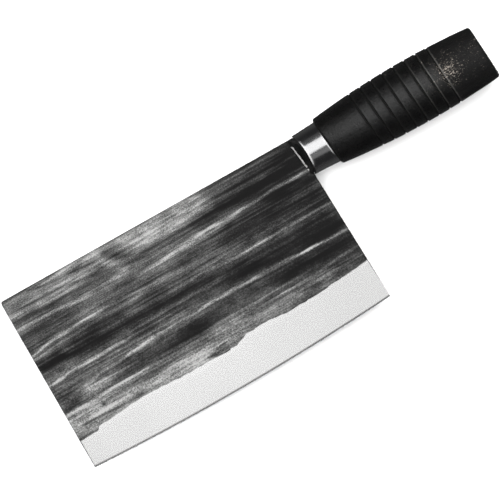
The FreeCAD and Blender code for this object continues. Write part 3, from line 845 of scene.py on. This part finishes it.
def ferrule_piece(context):
    """Sleeve whose section is a closed loop: outer wall, rounded rear edge, inner wall and a
    rolled front lip. Each ring's X is eased from the slanted mouth to the square rear end."""
    settings = context.scene.cleaver_ferrule
    steps = 192
    angle = np.linspace(0.0, 2 * math.pi, steps, endpoint=False)[None, :]
    bead = 0.10 * MM
    wall = settings.front_radius - settings.bore
    lip = 0.62 * wall
    lip_middle = 0.5 * (settings.front_radius + bead + settings.bore)
    lip_half = 0.5 * (wall + bead)
    lip_turn = np.linspace(1.5 * math.pi, 0.5 * math.pi, 12)[1:-1, None]
    share_out = np.linspace(0.0, 1.0, 40)[:, None] ** 1.3
    share_in = share_out[::-1]
    outer = settings.front_radius + share_out * (settings.rear_radius - settings.front_radius)
    outer = outer + bead * bump(share_out, 0.0, 0.09)
    height = np.abs(settings.front_radius * np.cos(angle)) - settings.mouth_half
    softened = 0.5 * (height + np.sqrt(height ** 2 + (1.2 * MM) ** 2))
    mouth = settings.mouth + settings.mouth_slant * softened
    behind_lip = mouth + lip
    rear_turn = np.linspace(0.5 * math.pi, -0.5 * math.pi, 8)[1:-1, None]
    rear_half = 0.5 * (settings.rear_radius - settings.bore)
    loop = (
        (behind_lip + share_out * (settings.end - behind_lip), outer),
        (settings.end, settings.bore + rear_half * (1 + np.sin(rear_turn))),
        (behind_lip + share_in * (settings.end - behind_lip), settings.bore),
        (behind_lip + lip * np.cos(lip_turn), lip_middle + lip_half * np.sin(lip_turn)),
    )
    rings = [np.broadcast_arrays(x, ring_radius, angle) for x, ring_radius in loop]
    along = np.concatenate([ring[0] for ring in rings])
    radius = np.concatenate([ring[1] for ring in rings])
    skew_degrees = np.interp(along.mean(axis=1), (2 * MM, 12 * MM), (2.4, 5.5))
    points = turned_points(along, radius, steps, np.tan(np.radians(skew_degrees)))
    wobble = waves((points[..., 0], points[..., 1], points[..., 2]),
                   (22 * MM, 14 * MM, 14 * MM), 81, 8) * 0.018 * MM
    points[..., 1:] *= (1 + wobble / settings.bore)[..., None]
    # The rim mark paints highlights: on the front lip where it faces up or down, and on the rear
    # edge on the edge's side.
    from_mouth = along - mouth
    from_end = settings.end - along
    low_side = smooth_step(7 * MM, 0.0, points[..., 1])
    facing_up = smooth_step(0.72, 0.99, np.abs(np.cos(angle)))
    front_lip_highlight = bump(from_mouth, 0.0, 0.75 * MM)
    rear_edge_highlight = 0.9 * low_side * bump(from_end, 0.0, 0.5 * MM)
    rim = facing_up * np.maximum(front_lip_highlight, rear_edge_highlight)
    faces = grid_faces(len(along), steps, close_rows=True, close_columns=True).tolist()
    return make_piece("drawn_ferrule", points.reshape(-1, 3), faces, ferrule_material(settings),
                      "ferrule", sharp=60.0, marks={"rim": rim})


def ferrule_material(settings):
    """Buffed steel with fine lines around the sleeve and faint handling marks, and a painted
    highlight along the rims.
    """
    material, nodes = new_material("buffed_ferrule_steel")
    place = nodes.knife_place()
    brushed = group_named("brushed_lines", brushed_lines_group)
    around = nodes.stretched(place, (1.0, 0.04, 0.04))
    lines = nodes.noise(around, 1400.0, detail=2.0)
    along = nodes.group(brushed, {"Place": place, "Spacing": 0.0007, "Draw": 30.0})["Lines"]
    mottle = group_named("mottle", mottle_group)
    haze = nodes.group(mottle, {"Place": place, "Size": 0.006, "Low": 0.35, "High": 0.75})
    bright = nodes.varied(haze["Fine"], 0.10, nodes.varied(along, 0.16, 1.0))
    base = nodes.blend(1.0, settings.steel, nodes.grey(bright), "MULTIPLY")
    # painted highlight: the rims turn pale and less metallic, so they stay bright from every side
    rim = nodes.mark("rim")
    highlight_and_rub = (0.64, 0.64, 0.64)
    base = nodes.blend(nodes.math("MULTIPLY", rim, 0.9), base, highlight_and_rub)
    rough = nodes.math("MULTIPLY_ADD", haze["Mask"], 0.07, 0.15)
    rough = nodes.math("MULTIPLY_ADD", lines, 0.06, rough)
    rough = nodes.math("MULTIPLY_ADD", rim, 0.25, rough)
    relief = nodes.math("MULTIPLY_ADD", lines, 0.35, nodes.math("MULTIPLY", along, 0.3))
    normal = nodes.bump(relief, 0.000008, 0.5)
    metal = nodes.math("MULTIPLY_ADD", rim, -0.85, 1.0)
    close_material(nodes, normal, Base_Color=base, Metallic=metal, Roughness=rough)
    return material


# ---------------------------------------------------------------- handle

GROOVES = 8


def barrel_radius(settings, x):
    """Parabola about the thickest place, close to a circle's arc."""
    return settings.radius - (x - BARREL_MIDDLE) ** 2 / (2 * settings.curve)


def groove_places(settings):
    """X of each groove's middle, at an even pitch."""
    return settings.groove_first + settings.groove_pitch * np.arange(GROOVES)


def barrel_stations(settings):
    """X of the barrel's rings: even between the ends, with close ones across each groove."""
    even = np.linspace(settings.front + settings.rim, settings.butt - settings.rim, 150)
    reach = 1.9 * settings.groove_half
    across = np.linspace(-reach, reach, 17)
    grooves = (groove_places(settings)[:, None] + across[None, :]).ravel()
    far = np.abs(even[:, None] - groove_places(settings)[None, :]).min(axis=1)
    clear = reach + 0.05 * settings.groove_half
    return np.sort(np.concatenate((even[far > clear], grooves)))


def handle_profile(settings):
    """X and radius from the front face's bore edge over both rims to the recess's floor: quarter
    circles at the rims, and on the barrel flat-bottomed bells cut in, with low bells as lips."""
    x = barrel_stations(settings)
    radius = barrel_radius(settings, x)
    nearest = np.abs(x[:, None] - groove_places(settings)[None, :]).min(axis=1)
    cut = np.exp(-(nearest / (0.62 * settings.groove_half)) ** 4)
    lip_height = 0.07 * MM
    lip = bump(nearest, 1.45 * settings.groove_half, 0.4 * settings.groove_half)
    radius = radius - settings.groove_depth * cut + lip_height * lip
    quarter = np.linspace(0.0, 0.5 * math.pi, 9)[:-1]
    front_top = barrel_radius(settings, settings.front + settings.rim)
    butt_top = barrel_radius(settings, settings.butt - settings.rim)
    floor = settings.butt - settings.recess_depth
    chamfer = 0.3 * MM
    parts = (
        (settings.front, np.linspace(settings.tenon - 0.5 * MM, front_top - settings.rim, 8)[:-1]),
        (settings.front + settings.rim * (1 - np.cos(quarter)),
         front_top - settings.rim * (1 - np.sin(quarter))),
        (x, radius),
        (settings.butt - settings.rim * (1 - np.cos(quarter[::-1])),
         butt_top - settings.rim * (1 - np.sin(quarter[::-1]))),
        (settings.butt, np.linspace(butt_top - settings.rim, settings.recess + chamfer, 14)[1:]),
        (np.linspace(settings.butt - chamfer, floor, 8), settings.recess),
        (floor, np.linspace(settings.recess - chamfer, 3 * MM, 6)),
    )
    along, radii = [], []
    for part_x, part_radius in parts:
        part_x, part_radius = np.broadcast_arrays(np.atleast_1d(part_x), np.atleast_1d(part_radius))
        along.append(part_x)
        radii.append(part_radius)
    return np.concatenate(along), np.concatenate(radii)


def handle_piece(context):
    """Profile turned about the handle's axis, its rings leaning a little out of square towards
    the front, with shallow dents; the tenon and bore inside the ferrule are closed off."""
    settings = context.scene.cleaver_handle
    steps = 176
    along, radius = handle_profile(settings)
    share = (along - settings.front) / (settings.butt - settings.front)
    skew_degrees = 5.6 - 2.4 * share
    points = turned_points(along, radius, steps, np.tan(np.radians(skew_degrees)))
    x, y, z = points[..., 0], points[..., 1], points[..., 2]
    dents = waves((x, y, z), (40 * MM, 26 * MM, 26 * MM), 91) * 0.05 * MM
    dents = dents + waves((x, y, z), (9 * MM, 6 * MM, 6 * MM), 92) * 0.016 * MM
    outside = smooth_step(0.6, 0.9, radius / settings.radius)[:, None]
    points[..., 1:] *= (1 + outside * dents / settings.radius)[..., None]
    closed, faces = closed_ends(points, along)
    # pit marks each groove for painted shade; lip marks the butt side of each groove for a paler
    # colour that is partly painted highlight, partly rubbed stain
    nearest = along[:, None] - groove_places(settings)[None, :]
    lip = bump(nearest, 1.25 * settings.groove_half, 0.45 * settings.groove_half).sum(axis=1)
    pit = bump(nearest, -0.1 * settings.groove_half, 0.95 * settings.groove_half).sum(axis=1)
    lip = lip * (0.35 + 0.65 * smooth_step(40 * MM, 95 * MM, along))
    worn_and_highlight = worn_area(x, y, z)
    past = smooth_step(88 * MM, 98 * MM, along)
    around = np.ones((1, steps))
    at_poles = (0, 0)
    marks = {
        "lip": np.append(lip[:, None] * around, at_poles),
        "pit": np.append(pit[:, None] * around, at_poles),
        "worn_and_highlight": np.append(worn_and_highlight, at_poles),
        "past": np.append(past[:, None] * around, at_poles),
    }
    return make_piece("turned_handle", closed, faces, handle_material(settings),
                      "handle", sharp=60.0, marks=marks)


def worn_area(x, y, z):
    """Where the stain has flaked off: a narrow and a wide bell past the middle of the barrel, on
    the upper side."""
    up = smooth_step(-6 * MM, 14 * MM, z)
    near = bump(x, 98 * MM, 7 * MM) * bump(y, 0.5 * MM, 8 * MM)
    wide = smooth_step(66 * MM, 92 * MM, x) * bump(y, 2 * MM, 13 * MM)
    return up * (0.64 * near + 0.34 * wide) + 0.08 * smooth_step(40 * MM, 110 * MM, x)


def handle_material(settings):
    """Black-stained turned wood: fine grain along the handle, painted shade darkening the grooves,
    their lips lightened partly by painted highlight and partly by rubbed stain, and flaked specks
    near the butt."""
    material, nodes = new_material("black_stained_wood")
    place = nodes.knife_place()
    grain_place = nodes.stretched(place, (0.06, 1.0, 1.0))
    grain = nodes.noise(grain_place, 900.0, detail=6.0, roughness=0.7, distortion=0.3)
    ring = nodes.noise(grain_place, 160.0, detail=4.0, roughness=0.6)
    mottle = group_named("mottle", mottle_group)
    spots = nodes.group(mottle, {"Place": place, "Size": 0.007, "Low": 0.40, "High": 0.72})
    share = nodes.math("MULTIPLY", nodes.fit(grain, 0.42, 0.72), nodes.fit(ring, 0.3, 0.7, 0.35))
    share = nodes.math("ADD", share, nodes.math("MULTIPLY", spots["Mask"], 0.30), clamp=True)
    stained = nodes.blend(share, settings.stain, settings.grain)
    # lip colour: partly painted highlight on the butt side of each groove, partly rubbed stain
    # where the wood is worn
    lip = nodes.math("MULTIPLY", nodes.mark("lip"), nodes.fit(ring, 0.25, 0.62, 0.30))
    highlight_and_rub = nodes.math("MULTIPLY_ADD", nodes.mark("worn_and_highlight"), 0.62, 0.05)
    lip_highlight_and_rub_grey = (0.17, 0.165, 0.155)
    stained = nodes.blend(nodes.math("MULTIPLY", lip, highlight_and_rub, clamp=True), stained, lip_highlight_and_rub_grey)
    # painted shade: the grooves are darkened
    painted_groove_shade = (0.0008, 0.0007, 0.0007)
    stained = nodes.blend(nodes.math("MULTIPLY", nodes.mark("pit"), 0.9), stained, painted_groove_shade)
    flecks = nodes.noise(nodes.stretched(place, (0.7, 1.0, 1.0)), 1500.0, detail=2.0,
                         roughness=0.6, distortion=0.8)
    fleck_area = nodes.math("MULTIPLY_ADD", nodes.mark("worn_and_highlight"), 0.20, flecks)
    fleck = nodes.fit(fleck_area, 0.72, 0.79)
    dark_wood = (0.05, 0.042, 0.034)
    wood_tone = nodes.blend(nodes.fit(grain, 0.35, 0.65), dark_wood, settings.bare)
    base = nodes.blend(nodes.math("MULTIPLY", fleck, 0.9), stained, wood_tone)
    past_grooves = nodes.mark("past")
    rough = nodes.math("MULTIPLY_ADD", spots["Fine"], 0.30, 0.16)
    rough = nodes.math("MULTIPLY_ADD", past_grooves, 0.34, rough)
    rough = nodes.math("MULTIPLY_ADD", fleck, 0.22, rough)
    rough = nodes.math("MULTIPLY_ADD", nodes.mark("pit"), 0.3, rough)
    pores = nodes.noise(nodes.stretched(place, (0.6, 1.0, 1.0)), 620.0, detail=4.0,
                        roughness=0.75)
    relief = nodes.math("MULTIPLY_ADD", grain, -0.35, nodes.math("MULTIPLY", fleck, -0.5))
    relief = nodes.math("MULTIPLY_ADD", spots["Fine"], 0.6, relief)
    relief = nodes.math("MULTIPLY_ADD", pores, 0.8, relief)
    normal = nodes.bump(relief, 0.00032, 0.95)
    close_material(nodes, normal, Base_Color=base, Roughness=rough, Specular_IOR_Level=0.62)
    return material


# ---------------------------------------------------------------- butt hardware and bedding

def tang_piece(context):
    """Round rod with a domed head: a quarter circle for the head, flattened by hammer blows."""
    settings = context.scene.cleaver_butt
    handle = context.scene.cleaver_handle
    bolster = context.scene.cleaver_bolster
    seat = handle.butt - handle.recess_depth + settings.washer_thickness
    dome = np.linspace(0.0, 0.5 * math.pi, 16)
    head_x = seat + 0.25 * settings.head_height + 0.75 * settings.head_height * np.sin(dome)
    head_radius = settings.head_radius * np.cos(dome) ** 0.7
    rod = np.linspace(bolster.end, seat, 12)[1:]
    along = np.concatenate(((bolster.end, bolster.end), rod,
                            (seat, seat + 0.08 * settings.head_height), head_x[:-1]))
    radius = np.concatenate(((1 * MM, settings.rod_radius), np.full(len(rod), settings.rod_radius),
                             (0.96 * settings.head_radius, settings.head_radius),
                             head_radius[:-1]))
    points, faces = closed_ends(turned_points(along, radius, steps=64), along)
    return make_piece("peened_tang", points, faces, plain_steel_material(settings),
                      "tang", sharp=45.0)


def washer_piece(context):
    """Ring whose section is a rectangle with rounded corners."""
    settings = context.scene.cleaver_butt
    handle = context.scene.cleaver_handle
    turn = np.linspace(0.0, 2 * math.pi, 40, endpoint=False)
    wide = 0.5 * (settings.washer_radius - settings.washer_hole)
    thick = 0.5 * settings.washer_thickness
    corner = 0.25 * MM
    across = np.clip(1.6 * np.cos(turn), -1, 1) * (wide - corner) + corner * np.cos(turn)
    up = np.clip(1.6 * np.sin(turn), -1, 1) * (thick - corner) + corner * np.sin(turn)
    middle = handle.butt - handle.recess_depth + thick
    radius = 0.5 * (settings.washer_radius + settings.washer_hole) + across
    steps = 96
    points = turned_points(middle + up, radius, steps)
    faces = grid_faces(len(turn), steps, close_rows=True, close_columns=True).tolist()
    return make_piece("butt_ring", points.reshape(-1, 3), faces,
                      plain_steel_material(settings), "butt_washer", sharp=50.0)


def plain_steel_material(settings):
    """Mild steel as it came from the hammer: dull, with brown spots in its hollows."""
    found = bpy.data.materials.get("plain_hammered_steel")
    if found:
        return found
    material, nodes = new_material("plain_hammered_steel")
    place = nodes.knife_place()
    mottle = group_named("mottle", mottle_group)
    spots = nodes.group(mottle, {"Place": place, "Size": 0.0024, "Low": 0.48, "High": 0.68})
    blows = nodes.add("ShaderNodeTexVoronoi", {"Vector": place, "Scale": 520.0},
                      feature="SMOOTH_F1").outputs["Distance"]
    wear_and_highlight = group_named("wear_and_highlight", wear_group)
    brown = (0.10, 0.062, 0.038, 1.0)
    stained = nodes.group(wear_and_highlight, {"Place": place, "Colour": (*settings.steel, 1.0), "Worn": brown,
                                 "Mask": nodes.math("MULTIPLY", spots["Mask"], 0.62),
                                 "Size": 0.0012})
    rough = nodes.math("MULTIPLY_ADD", stained["Worn Mask"], 0.30, 0.32)
    metal = nodes.math("MULTIPLY_ADD", stained["Worn Mask"], -0.7, 1.0)
    relief = nodes.math("MULTIPLY_ADD", blows, 0.8, nodes.math("MULTIPLY", spots["Fine"], 0.2))
    normal = nodes.bump(relief, 0.0003, 0.6)
    close_material(nodes, normal, Base_Color=stained["Colour"], Metallic=metal, Roughness=rough)
    return material


def pitch_material():
    """Dark cutler's pitch, sealed inside the handle."""
    material, nodes = new_material("poured_pitch")
    place = nodes.knife_place()
    mottle = group_named("mottle", mottle_group)
    spots = nodes.group(mottle, {"Place": place, "Size": 0.005})
    dark_pitch = (0.020, 0.013, 0.009)
    pale_pitch = (0.055, 0.036, 0.024)
    base = nodes.blend(spots["Mask"], dark_pitch, pale_pitch)
    normal = nodes.bump(spots["Fine"], 0.0003, 0.5)
    close_material(nodes, normal, Base_Color=base, Roughness=0.35)
    return material


# ---------------------------------------------------------------- stage

def floor_piece(context):
    """Flat square of pale card at the height of the table. It glows white far from the cleaver,
    where the lamps no longer reach, so that no horizon shows."""
    settings = context.scene.cleaver_stage
    half = 0.5 * settings.floor_size
    mesh = bpy.data.meshes.new("floor")
    corners = [(-half, -half, 0), (half, -half, 0), (half, half, 0), (-half, half, 0)]
    mesh.from_pydata(corners, [], [(0, 1, 2, 3)])
    material, nodes = new_material("pale_floor")
    place = nodes.add("ShaderNodeTexCoord").outputs["Object"]
    soft = nodes.noise(place, 3.0, detail=2.0)
    pale = tuple(settings.floor)
    base = nodes.blend(soft, pale, tuple(0.99 * value for value in pale))
    away = nodes.add("ShaderNodeVectorMath", {0: place}, operation="LENGTH").outputs["Value"]
    close_material(nodes, Base_Color=base, Roughness=0.9, Specular_IOR_Level=0.0,
                   Emission_Color=(1.0, 1.0, 1.0, 1.0), Emission_Strength=nodes.fit(away, 0.6, 1.6))
    mesh.materials.append(material)
    floor = bpy.data.objects.new("floor", mesh)
    context.scene.collection.objects.link(floor)
    floor.visible_glossy = False


LIT_POINT = (0.03, 0.0, 0.0)  # where every lamp points, near the middle of the cleaver


def soft_box(context, name, place, size, radiance, glossy=True):
    """Rectangular area light of a given brightness, turned towards the cleaver."""
    light = bpy.data.lights.new(name, "AREA")
    light.shape = "RECTANGLE"
    light.size, light.size_y = size
    light.energy = radiance * math.pi * light.size * light.size_y
    lamp = bpy.data.objects.new(name, light)
    context.scene.collection.objects.link(lamp)
    back = unit(np.array(place) - np.array(LIT_POINT))
    overhead = abs(back[2]) > 0.95
    side = unit(np.cross((0.0, 1.0, 0.0) if overhead else (0.0, 0.0, 1.0), back))
    turn = np.stack((side, np.cross(back, side), back), axis=1)
    lamp.matrix_world = Matrix.Translation(place) @ Matrix(turn.tolist()).to_4x4()
    lamp.visible_glossy = glossy
    lamp.visible_camera = False


def studio(context):
    """Overhead soft box on the spine's side, an even fill that mirrors don't see, cards on the
    edge's and the spine's sides, and low boxes at the corners and behind the butt."""
    soft_box(context, "key_box", place=(0.0, 0.49, 2.3), size=(2.2, 2.25), radiance=1.6)
    soft_box(context, "fill_box", place=(0.1, 0.75, 2.6), size=(3.6, 3.6), radiance=5.6,
             glossy=False)
    soft_box(context, "edge_card", place=(0.0, -1.25, 1.9), size=(2.2, 0.9), radiance=0.22)
    soft_box(context, "spine_card", place=(0.0, 2.4, 1.7), size=(2.2, 0.9), radiance=0.07)
    aside = 2.1
    for number, (x, y) in enumerate(((1, 1), (-1, 1), (-1, -1), (1, -1)), start=1):
        soft_box(context, f"corner_box_{number}", place=(aside * x, aside * y, 1.0),
                 size=(1.4, 1.6), radiance=0.5)
    soft_box(context, "butt_box", place=(2.4, 0.0, 0.5), size=(1.0, 0.9), radiance=0.8)


def studio_world(context):
    """White to the eye; for reflections a dim grey, paler from the horizon down, where a table
    would show."""
    world = bpy.data.worlds.new("studio")
    context.scene.world = world
    world.use_nodes = True
    nodes = Nodes(world.node_tree)
    seen = nodes.add("ShaderNodeLightPath").outputs["Is Camera Ray"]
    way = nodes.add("ShaderNodeTexCoord").outputs["Generated"]
    up = nodes.add("ShaderNodeSeparateXYZ", {"Vector": way}).outputs["Z"]
    low = nodes.fit(up, 0.05, -0.65)
    room_grey = (0.026, 0.026, 0.027)
    table_grey = (0.08, 0.08, 0.08)
    tone = nodes.blend(low, room_grey, table_grey)
    around = nodes.add("ShaderNodeBackground", {"Color": tone}).outputs[0]
    white = nodes.add("ShaderNodeBackground", {"Color": (1.0, 1.0, 1.0, 1.0)}).outputs[0]
    mixed = nodes.add("ShaderNodeMixShader", {0: seen, 1: around, 2: white}).outputs[0]
    nodes.add("ShaderNodeOutputWorld", {"Surface": mixed})


def camera(context):
    """Long lens straight above the cleaver, turned so that the handle points up and right."""
    settings = context.scene.cleaver_stage
    data = bpy.data.cameras.new("camera")
    data.sensor_width = 36.0
    height = settings.camera_height
    subject = KNIFE_ORIGIN[2]
    data.lens = data.sensor_width * (height - subject) / settings.view_width
    data.clip_end = 50.0
    view = bpy.data.objects.new("camera", data)
    context.scene.collection.objects.link(view)
    view.location = (KNIFE_ORIGIN[0] + settings.view_x, KNIFE_ORIGIN[1] + settings.view_y, height)
    view.rotation_euler = (0.0, 0.0, -settings.view_turn)
    context.scene.camera = view


# ---------------------------------------------------------------- operators

class BuildBlade(bpy.types.Operator):
    """Build the forged blade"""
    bl_idname = "cleaver.build_blade"
    bl_label = "Forged blade"

    def execute(self, context):
        blade_piece(context)
        return {"FINISHED"}


class BuildBolster(bpy.types.Operator):
    """Build the bolster"""
    bl_idname = "cleaver.build_bolster"
    bl_label = "Bolster"

    def execute(self, context):
        bolster_piece(context)
        return {"FINISHED"}


class BuildFerrule(bpy.types.Operator):
    """Build the ferrule"""
    bl_idname = "cleaver.build_ferrule"
    bl_label = "Ferrule"

    def execute(self, context):
        ferrule_piece(context)
        return {"FINISHED"}


class BuildHandle(bpy.types.Operator):
    """Build the turned handle"""
    bl_idname = "cleaver.build_handle"
    bl_label = "Handle"

    def execute(self, context):
        handle_piece(context)
        return {"FINISHED"}


class BuildButt(bpy.types.Operator):
    """Build the tang and the washer at the butt, and finish the bedding inside the handle"""
    bl_idname = "cleaver.build_butt"
    bl_label = "Tang, washer and bedding"

    def execute(self, context):
        tang_piece(context)
        washer_piece(context)
        bedding = frame["nodes"]["tang_bedding"]
        bedding.data.materials.clear()
        bedding.data.materials.append(pitch_material())
        return {"FINISHED"}


class BuildStage(bpy.types.Operator):
    """Build the floor, the lights and the camera"""
    bl_idname = "cleaver.build_stage"
    bl_label = "Stage"

    def execute(self, context):
        floor_piece(context)
        studio(context)
        studio_world(context)
        camera(context)
        context.scene.view_settings.view_transform = "Standard"
        return {"FINISHED"}


class CleaverPanel(bpy.types.Panel):
    """Lists the steps that build the cleaver"""
    bl_idname = "VIEW3D_PT_cleaver"
    bl_label = "Meat cleaver"
    bl_space_type = "VIEW_3D"
    bl_region_type = "UI"
    bl_category = "Cleaver"

    def draw(self, context):
        for operator in OPERATORS:
            self.layout.operator(operator.bl_idname)


OPERATORS = (BuildBlade, BuildBolster, BuildFerrule, BuildHandle, BuildButt, BuildStage)

SETTINGS = {
    "cleaver_blade": BladeSettings,
    "cleaver_bolster": BolsterSettings,
    "cleaver_ferrule": FerruleSettings,
    "cleaver_handle": HandleSettings,
    "cleaver_butt": ButtSettings,
    "cleaver_stage": StageSettings,
}


def register():
    for group in SETTINGS.values():
        bpy.utils.register_class(group)
    for operator in OPERATORS:
        bpy.utils.register_class(operator)
    bpy.utils.register_class(CleaverPanel)
    for name, group in SETTINGS.items():
        setattr(bpy.types.Scene, name, PointerProperty(type=group))


def unregister():
    for name in SETTINGS:
        delattr(bpy.types.Scene, name)
    bpy.utils.unregister_class(CleaverPanel)
    for operator in reversed(OPERATORS):
        bpy.utils.unregister_class(operator)
    for group in reversed(SETTINGS.values()):
        bpy.utils.unregister_class(group)


def corners(bounds):
    return [[float(value) for value in corner] for corner in bounds]


def main():
    register()
    bpy.ops.cleaver.build_blade()
    bpy.ops.cleaver.build_bolster()
    bpy.ops.cleaver.build_ferrule()
    bpy.ops.cleaver.build_handle()
    bpy.ops.cleaver.build_butt()
    bpy.ops.cleaver.build_stage()


if __name__ == "__main__":
    main()
